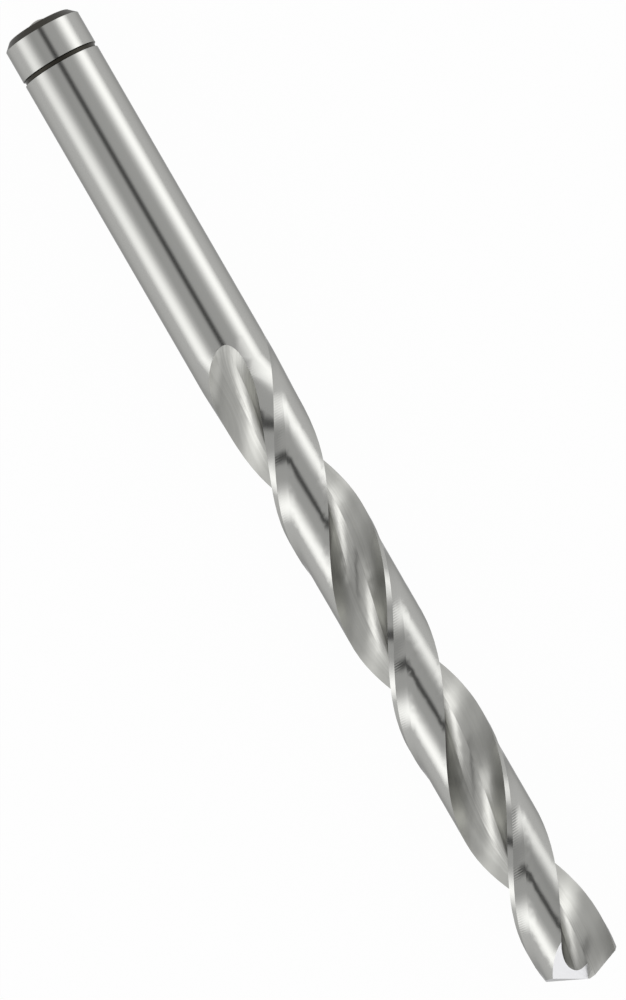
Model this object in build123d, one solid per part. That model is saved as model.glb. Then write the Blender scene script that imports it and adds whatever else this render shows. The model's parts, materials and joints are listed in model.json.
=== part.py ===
from build123d import *

import os
from math import acos, asin, atan2, cos, degrees, pi, radians, sin, sqrt, tan

# Jobber-length split-point twist drill, cobalt high-speed steel. Sizes in mm, angles in degrees.
# It is made standing on its shank end, with its axis on Z and a margin edge over +X at the apex, then laid
# along X.

DIAMETER = 10.0  # over the margins at the point
SHANK_DIAMETER = 9.92  # the body tapers back to this where the flutes run out
OVERALL_LENGTH = 133.0
FLUTE_LENGTH = 88.0  # point to the last trace of a flute
HELIX_ANGLE = 28.9  # right-hand, at the full diameter
ROLL = 40.0  # turn about its own axis as it lies

# Cross-section. Azimuths run with the twist, from the margin edge.
WEB = 0.22 * DIAMETER  # core left between the flutes at the point
WEB_TAPER = 0.0158  # how far each flute backs out per mm towards the shank
GULLET_RADIUS = 0.25 * DIAMETER  # bottom of the flute
GULLET_AZIMUTH = 55.0
FACE_RADIUS = 0.95 * DIAMETER  # hollow face that makes the cutting lip straight
HEEL_RADIUS = 0.60 * DIAMETER  # hollow wall up to the heel
HEEL_AZIMUTH = 100.0  # far edge of the flute at the point
MARGIN_ANGLE = 8.5  # land left at full diameter
CLEARANCE_DEPTH = 0.029 * DIAMETER  # body ground down behind the margin

# Run-out: the wheels climb out of the bar along an arc
RUNOUT_LENGTH = 8.5
RUNOUT_AZIMUTH = 59.0  # way the flute wheel leaves
RUNOUT_LAG = 21.0  # how far it falls behind the twist by its end
LAG_LENGTH = 18.0  # length over which it does
CLEARANCE_STOP = 12.0  # from where the clearance starts to fade to the end of the flutes
CLEARANCE_FADE = 7.0  # length over which it loses its depth
CLEARANCE_FADE_AZIMUTH = -100.0  # way it leaves, heel side first

# Point: two flat facets behind each lip, and a split that thins the web
POINT_ANGLE = 135.0
LIP_RELIEF = 10.0
HEEL_RELIEF = 22.0
SPLIT_SLOPE = 54.7  # fall of the split floor, from square to the axis
SPLIT_FLOOR_AZIMUTH = 36.0  # way the floor falls
SPLIT_WALL_AZIMUTH = 15.0  # line of the upright wall, which makes the inner lip
SPLIT_DEPTH = 0.02 * DIAMETER  # floor below the apex, on the axis
CHISEL_HALF = 0.005 * DIAMETER  # half of the web left between the two splits

# Shank end
CHAMFER_LENGTH = 0.9
CHAMFER_DEPTH = 0.95
CHAMFER_ROUND = 0.4  # blend from the chamfer to the end face
CENTRE_HEIGHT = 0.7  # rounded male centre
CENTRE_RADIUS = 2.5
GROOVE_POSITION = 6.0  # middle of the ring groove from the end of the drill
GROOVE_WIDTH = 0.6
GROOVE_DEPTH = 0.2
SEAM_AZIMUTH = -130.0  # where the turned faces close on themselves, underneath as it lies

# Cutters
OVERCUT = 0.16 * DIAMETER  # how far they reach past the bar
FLUTE_OVERLAP = 25.0  # how far the clearance cutter reaches into the next flute
SECTION_TURN = 24.0  # twist between two sections
RUNOUT_SECTIONS = 10

RADIUS = DIAMETER / 2
BODY_RADIUS = RADIUS - CLEARANCE_DEPTH
OUTSIDE = RADIUS + OVERCUT
LEAD = pi * DIAMETER / tan(radians(HELIX_ANGLE))
TURN_PER_MM = 360.0 / LEAD


def polar(radius, azimuth, centre=(0.0, 0.0)):
    return centre[0] + radius * cos(radians(azimuth)), centre[1] + radius * sin(radians(azimuth))


def bearing(centre, point):
    """Azimuth of a point seen from a centre."""
    return degrees(atan2(point[1] - centre[1], point[0] - centre[0]))


def arc(radius, first, last, centre=(0.0, 0.0)):
    """Arc between two azimuths as one cubic curve, which keeps the faces lofted through it light."""
    handle = 4 / 3 * tan(radians(last - first) / 4) * radius
    start, finish = polar(radius, first, centre), polar(radius, last, centre)
    return Bezier(start, polar(handle, first + 90, start), polar(-handle, last + 90, finish), finish)


def blank():
    """Ground bar: rounded male centre, chamfer, ring groove, shank, and body tapering up to the point."""
    shank = SHANK_DIAMETER / 2
    centre_base = sqrt(2 * CENTRE_RADIUS * CENTRE_HEIGHT - CENTRE_HEIGHT**2)
    low, high = GROOVE_POSITION - GROOVE_WIDTH / 2, GROOVE_POSITION + GROOVE_WIDTH / 2
    slope = GROOVE_DEPTH / 2
    outline = [
        RadiusArc((0, 0), (centre_base, CENTRE_HEIGHT), -CENTRE_RADIUS),
        Polyline(
            (centre_base, CENTRE_HEIGHT),
            (shank - CHAMFER_DEPTH, CENTRE_HEIGHT),
            (shank, CENTRE_HEIGHT + CHAMFER_LENGTH),
            (shank, low),
            (shank - GROOVE_DEPTH, low + slope),
            (shank - GROOVE_DEPTH, high - slope),
            (shank, high),
            (shank, OVERALL_LENGTH - FLUTE_LENGTH),
            (RADIUS, OVERALL_LENGTH),
            (0, OVERALL_LENGTH),
            (0, 0),
        ),
    ]
    bar = Rot(0, 0, SEAM_AZIMUTH) * revolve(Plane.XZ * make_face(outline), Axis.Z)
    end_face = bar.faces().filter_by(GeomType.PLANE).sort_by(Axis.Z)[0]
    return fillet(end_face.edges().sort_by(SortBy.RADIUS)[-1], CHAMFER_ROUND)


def blend_centre(gullet, edge, radius, side):
    """Centre of an arc through an edge that touches the gullet arc from outside, on one side of it."""
    dx, dy = edge[0] - gullet[0], edge[1] - gullet[1]
    gap = sqrt(dx * dx + dy * dy)
    reach = radius - GULLET_RADIUS
    along = (gap * gap + reach * reach - radius**2) / (2 * gap)
    across = side * sqrt(reach * reach - along * along)
    return gullet[0] + (along * dx - across * dy) / gap, gullet[1] + (along * dy + across * dx) / gap


def flute_shift(height):
    """Sideways move of the flute section: the web taper, then the arc of the wheel climbing out."""
    below = OVERALL_LENGTH - height
    gullet = Vector(*polar(WEB / 2 + GULLET_RADIUS, GULLET_AZIMUTH)) + Vector(WEB_TAPER * FLUTE_LENGTH, 0)
    way = Vector(*polar(1.0, RUNOUT_AZIMUTH))
    ahead = gullet.dot(way)
    climb = sqrt(ahead**2 - gullet.length**2 + (SHANK_DIAMETER / 2 + GULLET_RADIUS) ** 2) - ahead
    wheel = (RUNOUT_LENGTH**2 + climb**2) / (2 * climb)
    travel = max(0.0, below - (FLUTE_LENGTH - RUNOUT_LENGTH))
    out = (wheel - sqrt(wheel**2 - travel**2)) * way
    return WEB_TAPER * below + out.X, out.Y


def flute_lag(height):
    """How far the flute section has fallen behind the twist."""
    travel = max(0.0, OVERALL_LENGTH - FLUTE_LENGTH + LAG_LENGTH - height)
    share = min(1.0, travel / LAG_LENGTH)
    return RUNOUT_LAG * share**2 * (3 - 2 * share)


def flute_section(height):
    """Flute form with the margin edge on +X: hollow face, gullet and hollow heel wall."""
    gullet = polar(WEB / 2 + GULLET_RADIUS, GULLET_AZIMUTH)
    edge, heel = (RADIUS, 0.0), polar(BODY_RADIUS, HEEL_AZIMUTH)
    face = blend_centre(gullet, edge, FACE_RADIUS, 1)
    wall = blend_centre(gullet, heel, HEEL_RADIUS, -1)
    face_start = bearing(face, edge) + degrees(OVERCUT / FACE_RADIUS)
    face_end = bearing(face, gullet)
    wall_start = face_end - (face_end - bearing(wall, gullet)) % 360.0
    wall_end = wall_start - (wall_start - bearing(wall, heel)) % 360.0 - degrees(OVERCUT / HEEL_RADIUS)
    outer = polar(DIAMETER, HEEL_AZIMUTH / 2)
    form = Wire(
        [
            arc(FACE_RADIUS, face_start, face_end, face),
            arc(GULLET_RADIUS, face_end, wall_start, gullet),
            arc(HEEL_RADIUS, wall_start, wall_end, wall),
            Line(polar(HEEL_RADIUS, wall_end, wall), outer),
            Line(outer, polar(FACE_RADIUS, face_start, face)),
        ]
    )
    return Rot(0, 0, flute_lag(height)) * Pos(*flute_shift(height)) * form


def clearance_shift(height):
    """Sideways move of the clearance section that lifts it out of the bar, heel side first."""
    travel = max(0.0, OVERALL_LENGTH - FLUTE_LENGTH + CLEARANCE_STOP - height)
    return polar(CLEARANCE_DEPTH * (travel / CLEARANCE_FADE) ** 2, CLEARANCE_FADE_AZIMUTH)


def clearance_section(height):
    """What is ground off behind the margin on +X: a flat falling to the body circle, then that circle."""
    flat_azimuth = -MARGIN_ANGLE - degrees(acos(BODY_RADIUS / RADIUS))
    flat_end, margin_end = polar(BODY_RADIUS, flat_azimuth), polar(RADIUS, -MARGIN_ANGLE)
    flat_start = tuple(2 * a - b for a, b in zip(margin_end, flat_end))
    last = HEEL_AZIMUTH - 180.0 - FLUTE_OVERLAP
    corner = polar(DIAMETER, last / 2)
    form = Wire(
        [
            Line(flat_start, flat_end),
            arc(BODY_RADIUS, flat_azimuth, last),
            Line(polar(BODY_RADIUS, last), polar(OUTSIDE, last)),
            Line(polar(OUTSIDE, last), corner),
            Line(corner, flat_start),
        ]
    )
    return Pos(*clearance_shift(height)) * form


def twisted_cutter(section_at, low, runout_top):
    """Solid through sections turned with the lead, closer together in the run-out than above it."""
    top = OVERALL_LENGTH + OVERCUT
    steps = max(1, round((top - runout_top) * TURN_PER_MM / SECTION_TURN))
    heights = [low + (runout_top - low) * i / RUNOUT_SECTIONS for i in range(RUNOUT_SECTIONS)]
    heights += [runout_top + (top - runout_top) * i / steps for i in range(steps + 1)]
    sections = [
        Pos(0, 0, height) * Rot(0, 0, (height - OVERALL_LENGTH) * TURN_PER_MM) * section_at(height)
        for height in heights
    ]
    return Solid.make_loft(sections)


def flute():
    end = OVERALL_LENGTH - FLUTE_LENGTH
    return twisted_cutter(flute_section, end - OVERCUT, end + LAG_LENGTH)


def body_clearance():
    fade = OVERALL_LENGTH - FLUTE_LENGTH + CLEARANCE_STOP
    return twisted_cutter(clearance_section, fade - 2 * CLEARANCE_FADE, fade)


def above(origin, lean, azimuth):
    """Everything above a plane through origin that falls by the angle lean towards an azimuth."""
    side = polar(1.0, azimuth + 90)
    normal = polar(sin(radians(lean)), azimuth)
    size = 4 * DIAMETER
    block = Box(size, size, size, align=(Align.CENTER, Align.CENTER, Align.MIN))
    return Plane(origin, x_dir=(*side, 0), z_dir=(*normal, cos(radians(lean)))) * block


def lip_azimuth():
    """Direction of the lip seen along the axis: where it meets the margin edge, less the half web."""
    reach = sqrt(RADIUS**2 - (WEB / 2) ** 2)
    drop = reach / tan(radians(POINT_ANGLE / 2)) - WEB / 2 * tan(radians(LIP_RELIEF))
    return -drop * TURN_PER_MM - degrees(asin(WEB / DIAMETER))


def facet(relief):
    """What is ground off above a flat through the apex that falls along the lip and behind it."""
    along, behind = 1 / tan(radians(POINT_ANGLE / 2)), tan(radians(relief))
    lean = degrees(atan2(sqrt(along**2 + behind**2), 1.0))
    return above((0, 0, OVERALL_LENGTH), lean, lip_azimuth() - degrees(atan2(behind, along)))


def web_split():
    """Notch whose floor takes off the heel and whose upright wall carries the lip in to the axis."""
    floor = above((0, 0, OVERALL_LENGTH - SPLIT_DEPTH), SPLIT_SLOPE, SPLIT_FLOOR_AZIMUTH)
    wall_side = SPLIT_WALL_AZIMUTH + 90
    return floor & above((*polar(CHISEL_HALF, wall_side), OVERALL_LENGTH), 90, wall_side)


def twist_drill():
    drill = blank()
    for cut in (flute(), body_clearance(), facet(LIP_RELIEF), facet(HEEL_RELIEF), web_split()):
        drill = drill - cut - Rot(0, 0, 180) * cut
    return drill


laid = Plane.YZ * Rot(0, 0, ROLL) * Pos(0, 0, -OVERALL_LENGTH / 2) * twist_drill()
laid = Pos(0, 0, -laid.bounding_box().min.Z) * laid

os.makedirs("parts", exist_ok=True)
export_step(laid, "parts/twist_drill.step")
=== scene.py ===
import json
from math import pi, radians, tan
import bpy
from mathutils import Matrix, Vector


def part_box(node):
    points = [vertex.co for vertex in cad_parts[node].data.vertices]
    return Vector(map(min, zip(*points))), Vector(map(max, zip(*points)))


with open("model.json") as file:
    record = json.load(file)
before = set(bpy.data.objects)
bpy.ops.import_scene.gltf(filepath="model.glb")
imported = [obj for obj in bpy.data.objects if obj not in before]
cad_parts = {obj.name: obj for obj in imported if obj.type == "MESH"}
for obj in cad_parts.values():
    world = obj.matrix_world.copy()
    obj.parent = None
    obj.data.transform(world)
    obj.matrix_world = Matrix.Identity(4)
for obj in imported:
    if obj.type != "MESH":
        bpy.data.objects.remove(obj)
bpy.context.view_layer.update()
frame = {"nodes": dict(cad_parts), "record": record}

from types import SimpleNamespace

import bmesh
import bpy
from mathutils import Matrix, Vector

MM = 0.001

# The drill lies along X with its point at +X, on a floor at Z = 0.
DRILL = "twist_drill"
SHANK_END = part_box(DRILL)[0][0]
POINT_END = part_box(DRILL)[1][0]
AXIS_HEIGHT = frame["record"]["mounts"][0]["pos_m"][2]

# Sizes of the drill that its finish follows
DIAMETER = 10.0 * MM
HELIX_ANGLE = radians(28.9)
LEAD = pi * DIAMETER / tan(HELIX_ANGLE)
BODY_RADIUS = 4.71 * MM  # of the lands behind their margins
LAND_FALL = (0.11 * MM, 0.02 * MM)  # below it: deeper than the first is flute, less than the second is land
POINT_LENGTH = 8.0 * MM  # that the faces of the point take up
CHAMFER_TOP = 1.6 * MM  # from the shank end
GROOVE_POSITION = 6.0 * MM  # from the shank end to its middle
GROOVE_WIDTH = 0.6 * MM
WORN_CENTRE_RADIUS = 1.5 * MM  # of the grey spot on the end of the shank
WORN_EDGE = 0.7 * MM  # over which it turns black

# Cosines that tell its faces apart, each from the one kind to the other
LAND_FACING = (0.86, 0.93)  # flute to land, off the way out from the axis
FLAT_FACING = (0.9985, 0.990)  # round to flat, which leans a little off the same way
POINT_FACING = (0.44, 0.50)  # body to point, off the way forwards

# Colours and roughness of the steel
LAND_GREY = "#ABABA8"
LAND_ROUGHNESS = 0.17
FLUTE_DARK = "#ACACA8"
FLUTE_LIGHT = "#B9B9B5"
FLUTE_STREAK = (0.35, 0.65)  # of the noise of the lines, from dark to light
FLUTE_ROUGHNESS = 0.28
# Paler, slightly lilac steel on the faces of the point: a painted highlight that stands for the card light
# they reflect
POINT_PAINTED_HIGHLIGHT = "#DEDEE0"
EDGE_TINT = "#BCBCBC"  # of what the metal reflects at a grazing angle
SCALE_BLACK = "#3A3833"
SCALE_WORN = "#8C8A85"
SCALE_ROUGHNESS = 0.45

# Marks that the grinding wheels leave
FEED_PITCH = 0.29 * MM  # of the rings round the lands and the shank
ROUND_RING_DEPTH = 0.0004 * MM
FLAT_RING_DEPTH = 0.004 * MM
FLUTE_LINE = 0.22 * MM  # width of a line in a flute, drawn as coarse as it needs to show
FLUTE_LINE_LENGTH = 30.0 * MM
FLUTE_LINE_DEPTH = 0.011 * MM

# Camera, looking almost straight down
CAMERA_DISTANCE = 411.1 * MM
CAMERA_TILT = radians(1.2)  # lean towards the shank end
DRILL_ANGLE = radians(59.95)  # of the drill below the horizontal of the view
VIEW_HALF_HEIGHT = 60.1 * MM  # of what the view takes in at the camera's distance
SENSOR_HEIGHT = 24.0  # in millimetres, as the camera takes it
AIM = Vector((-0.19, 0.05, 5.04)) * MM

# Studio lights: strength by degrees from overhead, on both sides of the drill
LIGHT_STRENGTHS = (
    (0, 0.73), (34, 0.74), (44, 1.05), (54, 1.78), (62, 2.3), (70, 2.5), (78, 2.2), (87, 1.5), (97, 1.0),
)
LIGHTS_OFF_CENTRE = 0.05  # as a way across the drill
# What is left of them, by the product of the ways along and across the drill
LIGHTS_LEFT = (
    (-0.42, 0.55), (-0.30, 0.85), (-0.15, 1.0), (0.02, 1.0), (0.09, 0.76),
    (0.21, 0.74), (0.29, 0.5), (0.37, 0.15), (0.46, 0.10),
)
# Dark slot overhead: ways across and along the drill at which its edge starts and ends
SLOT_SIDE = (0.06, 0.18)
SLOT_END = (0.24, 0.42)
SLOT_LIGHT = 0.12  # share of the grey that stays in its middle
POINT_CARD = Vector((0.916, 0.312, 0.254))  # way to the card that the split at the point reflects
POINT_CARD_EDGE = (0.93, 0.98)  # cosines off that way where its soft edge starts and ends
POINT_CARD_STRENGTH = 1.2

FLOOR_SIZE = 6.0  # in metres
FLOOR_WHITE = "#E8E8E8"
FLOOR_GLOW = 0.97  # share of its white that comes from within, where the camera or the metal sees it


def linear(hex_colour):
    """sRGB hex to the linear colour that shaders take."""
    channels = [int(hex_colour[i:i + 2], 16) / 255 for i in (1, 3, 5)]
    return [c / 12.92 if c <= 0.04045 else ((c + 0.055) / 1.055) ** 2.4 for c in channels] + [1.0]


def add_node(tree, kind, settings=None, stops=(), **inputs):
    """Adds a node and sets or links its inputs, named or numbered (_0).

    A node given as an input stands for its first output. Stops are the greys of a ramp: place and level.
    """
    node = tree.nodes.new(kind)
    for name, value in (settings or {}).items():
        setattr(node, name, value)
    if stops:
        elements = node.color_ramp.elements
        while len(elements) < len(stops):
            elements.new(1.0)
        for element, (place, level) in zip(elements, stops):
            element.position = place
            element.color = (level, level, level, 1.0)
    for name, value in inputs.items():
        socket = node.inputs[int(name[1:]) if name[0] == "_" else name.replace("_", " ")]
        value = value.outputs[0] if isinstance(value, bpy.types.Node) else value
        if isinstance(value, bpy.types.NodeSocket):
            tree.links.new(value, socket)
        else:
            socket.default_value = value
    return node


def new_material(name):
    material = bpy.data.materials.new(name)
    material.use_nodes = True
    material.node_tree.nodes.clear()
    return material, material.node_tree


def spot_on_drill(tree):
    """Where a spot of the drill lies: from the axis, along it, its radius, and how its face looks out."""
    place = add_node(tree, "ShaderNodeTexCoord").outputs["Object"]
    centred = add_node(
        tree, "ShaderNodeVectorMath", {"operation": "SUBTRACT"}, _0=place, _1=(0, 0, AXIS_HEIGHT),
    )
    across = add_node(tree, "ShaderNodeVectorMath", {"operation": "MULTIPLY"}, _0=centred, _1=(0, 1, 1))
    outward = add_node(tree, "ShaderNodeVectorMath", {"operation": "NORMALIZE"}, _0=across)
    normal = add_node(tree, "ShaderNodeNewGeometry").outputs["Normal"]
    length = add_node(tree, "ShaderNodeVectorMath", {"operation": "LENGTH"}, _0=across)
    facing = add_node(tree, "ShaderNodeVectorMath", {"operation": "DOT_PRODUCT"}, _0=normal, _1=outward)
    return SimpleNamespace(
        centred=centred,
        along=add_node(tree, "ShaderNodeSeparateXYZ", Vector=centred),
        outward=outward,
        radius=length.outputs["Value"],
        normal=normal,
        facing=facing.outputs["Value"],
    )


def land_mask(tree, spot):
    """1 on the shank and the lands, which lie far out and look outwards, and 0 in the flutes."""
    far_out = add_node(
        tree, "ShaderNodeMapRange", Value=spot.radius,
        From_Min=BODY_RADIUS - LAND_FALL[0], From_Max=BODY_RADIUS - LAND_FALL[1],
    )
    outwards = add_node(
        tree, "ShaderNodeMapRange", Value=spot.facing, From_Min=LAND_FACING[0], From_Max=LAND_FACING[1],
    )
    return add_node(tree, "ShaderNodeMath", {"operation": "MULTIPLY"}, _0=far_out, _1=outwards)


def feed_rings(tree, spot):
    """Rings from the feed of the round grinding; a wave's bands are 2 pi / 20 apart at a scale of 1."""
    return add_node(
        tree, "ShaderNodeTexWave", {"bands_direction": "X"}, Vector=spot.centred,
        Scale=2 * pi / (20 * FEED_PITCH), Distortion=0.6, Detail=1.0, Detail_Scale=2.0,
    ).outputs["Fac"]


def flute_lines(tree, spot):
    """Lines along the flutes: noise drawn out along X, in ways from the axis that turn with the helix."""
    twist = add_node(tree, "ShaderNodeMath", {"operation": "MULTIPLY"}, _0=spot.along, _1=-2 * pi / LEAD)
    untwisted = add_node(
        tree, "ShaderNodeVectorRotate", {"rotation_type": "X_AXIS"}, Vector=spot.outward, Angle=twist,
    )
    lengthwise = add_node(
        tree, "ShaderNodeVectorMath", {"operation": "MULTIPLY"},
        _0=spot.centred, _1=(1 / FLUTE_LINE_LENGTH, 0, 0),
    )
    lines_to_radius = BODY_RADIUS / FLUTE_LINE
    drawn_out = add_node(
        tree, "ShaderNodeVectorMath", {"operation": "MULTIPLY_ADD"},
        _0=untwisted, _1=(0, lines_to_radius, lines_to_radius), _2=lengthwise,
    )
    return add_node(tree, "ShaderNodeTexNoise", Vector=drawn_out, Scale=1.0, Detail=2.0).outputs["Fac"]


def grinding_marks(tree, spot, land, lines):
    """Bumps: faint rings on the round, deeper ones on the flats behind the margins, lines in the flutes."""
    marks = add_node(
        tree, "ShaderNodeMix", {"data_type": "FLOAT"}, _0=land, _2=lines, _3=feed_rings(tree, spot),
    )
    ring_depth = add_node(
        tree, "ShaderNodeMapRange", Value=spot.facing, From_Min=FLAT_FACING[0], From_Max=FLAT_FACING[1],
        To_Min=ROUND_RING_DEPTH, To_Max=FLAT_RING_DEPTH,
    )
    depth = add_node(
        tree, "ShaderNodeMapRange", Value=land, To_Min=FLUTE_LINE_DEPTH, To_Max=ring_depth,
    )
    return add_node(tree, "ShaderNodeBump", Strength=1.0, Distance=depth, Height=marks)


def point_highlight_mask(tree, spot):
    """1 on the faces of the point, which look forwards, where a painted highlight makes the steel paler."""
    ahead = add_node(tree, "ShaderNodeSeparateXYZ", Vector=spot.normal)
    forwards = add_node(
        tree, "ShaderNodeMapRange", Value=ahead, From_Min=POINT_FACING[0], From_Max=POINT_FACING[1],
    )
    near_point = add_node(
        tree, "ShaderNodeMath", {"operation": "GREATER_THAN"}, _0=spot.along, _1=POINT_END - POINT_LENGTH,
    )
    return add_node(tree, "ShaderNodeMath", {"operation": "MULTIPLY"}, _0=forwards, _1=near_point)


def ground_steel_colour(tree, spot, land, lines):
    """Even grey lands, flutes streaked along their lines, and a point painted paler as a highlight."""
    streak = add_node(
        tree, "ShaderNodeMapRange", Value=lines, From_Min=FLUTE_STREAK[0], From_Max=FLUTE_STREAK[1],
    )
    flute = add_node(
        tree, "ShaderNodeMix", {"data_type": "RGBA"},
        _0=streak, _6=linear(FLUTE_DARK), _7=linear(FLUTE_LIGHT),
    )
    body = add_node(
        tree, "ShaderNodeMix", {"data_type": "RGBA"}, _0=land, _6=flute.outputs[2], _7=linear(LAND_GREY),
    )
    # Painted highlight: the faces of the point get a paler colour than the lands
    point = point_highlight_mask(tree, spot)
    return add_node(
        tree, "ShaderNodeMix", {"data_type": "RGBA"}, _0=point, _6=body.outputs[2], _7=linear(POINT_PAINTED_HIGHLIGHT),
    ).outputs[2]


def ground_steel(tree, spot):
    """Bright steel, shiny on the round-ground lands and duller in the flutes.

    The grey specular tint keeps its steep edges darker than the white floor that they reflect.
    """
    land = land_mask(tree, spot)
    lines = flute_lines(tree, spot)
    colour = ground_steel_colour(tree, spot, land, lines)
    roughness = add_node(
        tree, "ShaderNodeMapRange", Value=land, To_Min=FLUTE_ROUGHNESS, To_Max=LAND_ROUGHNESS,
    )
    marks = grinding_marks(tree, spot, land, lines)
    return add_node(
        tree, "ShaderNodeBsdfPrincipled", Base_Color=colour, Metallic=1.0, Roughness=roughness,
        Specular_Tint=linear(EDGE_TINT), Normal=marks,
    )


def scale_mask(tree, spot):
    """1 on the turned end and in the groove, which were never ground."""
    end = add_node(
        tree, "ShaderNodeMath", {"operation": "LESS_THAN"}, _0=spot.along, _1=SHANK_END + CHAMFER_TOP,
    )
    groove = add_node(
        tree, "ShaderNodeMath", {"operation": "COMPARE"},
        _0=spot.along, _1=SHANK_END + GROOVE_POSITION, _2=GROOVE_WIDTH / 2,
    )
    return add_node(tree, "ShaderNodeMath", {"operation": "MAXIMUM"}, _0=end, _1=groove)


def black_scale(tree, spot):
    """Scale of the hardening: black and dull, worn to grey in the middle of the end."""
    unworn = add_node(
        tree, "ShaderNodeMapRange", Value=spot.radius,
        From_Min=WORN_CENTRE_RADIUS, From_Max=WORN_CENTRE_RADIUS + WORN_EDGE,
    )
    colour = add_node(
        tree, "ShaderNodeMix", {"data_type": "RGBA"},
        _0=unworn, _6=linear(SCALE_WORN), _7=linear(SCALE_BLACK),
    )
    return add_node(
        tree, "ShaderNodeBsdfPrincipled", Base_Color=colour.outputs[2], Metallic=1.0,
        Roughness=SCALE_ROUGHNESS,
    )


def drill_steel():
    """High-speed steel, hardened and then ground: bright all over, with black scale where no wheel went."""
    material, tree = new_material("ground_high_speed_steel")
    spot = spot_on_drill(tree)
    shader = add_node(
        tree, "ShaderNodeMixShader",
        _0=scale_mask(tree, spot), _1=ground_steel(tree, spot), _2=black_scale(tree, spot),
    )
    add_node(tree, "ShaderNodeOutputMaterial", Surface=shader)
    return material


def camera():
    data = bpy.data.cameras.new("camera")
    data.sensor_fit = "VERTICAL"
    data.sensor_height = SENSOR_HEIGHT
    data.lens = SENSOR_HEIGHT / 2 * CAMERA_DISTANCE / VIEW_HALF_HEIGHT
    obj = bpy.data.objects.new("camera", data)
    bpy.context.scene.collection.objects.link(obj)
    turn = Matrix.Rotation(-CAMERA_TILT, 4, "Y") @ Matrix.Rotation(DRILL_ANGLE, 4, "Z")
    obj.matrix_world = Matrix.Translation(AIM + turn.to_3x3() @ Vector((0, 0, CAMERA_DISTANCE))) @ turn
    bpy.context.scene.camera = obj


def side_lights(tree, y, z):
    """Grey overhead, and a long soft light low on each side of the drill, a little off its middle."""
    side = add_node(tree, "ShaderNodeMath", {"operation": "SUBTRACT"}, _0=y, _1=LIGHTS_OFF_CENTRE)
    side = add_node(tree, "ShaderNodeMath", {"operation": "ABSOLUTE"}, _0=side)
    angle = add_node(tree, "ShaderNodeMath", {"operation": "ARCTAN2"}, _0=side, _1=z)
    half_turns = add_node(tree, "ShaderNodeMath", {"operation": "DIVIDE"}, _0=angle, _1=pi)
    strengths = [(degrees / 180, strength) for degrees, strength in LIGHT_STRENGTHS]
    return add_node(tree, "ShaderNodeValToRGB", stops=strengths, Fac=half_turns)


def lights_left(tree, x, y):
    """The lights stand askew, so each fades towards one end of the drill, most of all where x y is high."""
    middle = 0.5  # of the ramp, where x y is 0
    skew = add_node(tree, "ShaderNodeMath", {"operation": "MULTIPLY_ADD"}, _0=x, _1=y, _2=middle)
    shares = [(middle + product, left) for product, left in LIGHTS_LEFT]
    return add_node(tree, "ShaderNodeValToRGB", stops=shares, Fac=skew)


def overhead_slot(tree, x, y):
    """Dark slot above the drill and in line with it, as the share of the light that it leaves."""
    side = add_node(tree, "ShaderNodeMath", {"operation": "ABSOLUTE"}, _0=y)
    side = add_node(
        tree, "ShaderNodeMapRange", Value=side,
        From_Min=SLOT_SIDE[0], From_Max=SLOT_SIDE[1], To_Min=SLOT_LIGHT,
    )
    end = add_node(tree, "ShaderNodeMath", {"operation": "ABSOLUTE"}, _0=x)
    end = add_node(tree, "ShaderNodeMapRange", Value=end, From_Min=SLOT_END[0], From_Max=SLOT_END[1])
    return add_node(tree, "ShaderNodeMath", {"operation": "MAXIMUM"}, _0=side, _1=end)


def point_card(tree, direction):
    """Soft-edged card beyond the point."""
    towards = add_node(
        tree, "ShaderNodeVectorMath", {"operation": "DOT_PRODUCT"}, _0=direction, _1=POINT_CARD,
    ).outputs["Value"]
    return add_node(
        tree, "ShaderNodeMapRange", Value=towards,
        From_Min=POINT_CARD_EDGE[0], From_Max=POINT_CARD_EDGE[1], To_Max=POINT_CARD_STRENGTH,
    )


def studio():
    """The surroundings that light the drill and that its metal reflects."""
    world = bpy.data.worlds.new("studio")
    bpy.context.scene.world = world
    world.use_nodes = True
    tree = world.node_tree
    tree.nodes.clear()
    direction = add_node(tree, "ShaderNodeTexCoord").outputs["Generated"]
    x, y, z = add_node(tree, "ShaderNodeSeparateXYZ", Vector=direction).outputs
    lights = side_lights(tree, y, z)
    left = lights_left(tree, x, y)
    slot = overhead_slot(tree, x, y)
    card = point_card(tree, direction)
    light = add_node(tree, "ShaderNodeMath", {"operation": "MULTIPLY"}, _0=lights, _1=left)
    light = add_node(tree, "ShaderNodeMath", {"operation": "MULTIPLY"}, _0=light, _1=slot)
    light = add_node(tree, "ShaderNodeMath", {"operation": "MAXIMUM"}, _0=light, _1=card)
    background = add_node(tree, "ShaderNodeBackground", Color=light)
    add_node(tree, "ShaderNodeOutputWorld", Surface=background)


def floor_paint():
    """White paint, lit from within where the camera or the metal sees it, so that it looks plain white."""
    material, tree = new_material("white_floor")
    rays = add_node(tree, "ShaderNodeLightPath").outputs
    seen = rays["Is Camera Ray"]
    for ray in ("Is Glossy Ray", "Is Transmission Ray"):
        seen = add_node(tree, "ShaderNodeMath", {"operation": "MAXIMUM"}, _0=seen, _1=rays[ray])
    glow_share = add_node(tree, "ShaderNodeMath", {"operation": "MULTIPLY"}, _0=seen, _1=FLOOR_GLOW)
    paint = add_node(tree, "ShaderNodeBsdfDiffuse", Color=linear(FLOOR_WHITE))
    glow = add_node(tree, "ShaderNodeEmission", Color=(1, 1, 1, 1), Strength=1.0)
    shader = add_node(tree, "ShaderNodeMixShader", _0=glow_share, _1=paint, _2=glow)
    add_node(tree, "ShaderNodeOutputMaterial", Surface=shader)
    return material


def floor():
    mesh = bpy.data.meshes.new("floor")
    form = bmesh.new()
    bmesh.ops.create_grid(form, x_segments=1, y_segments=1, size=FLOOR_SIZE / 2)
    form.to_mesh(mesh)
    form.free()
    mesh.materials.append(floor_paint())
    obj = bpy.data.objects.new("floor", mesh)
    bpy.context.scene.collection.objects.link(obj)


steel = drill_steel()
for material_slot in frame["nodes"][DRILL].material_slots:
    material_slot.material = steel
camera()
studio()
floor()
bpy.context.scene.view_settings.view_transform = "Standard"
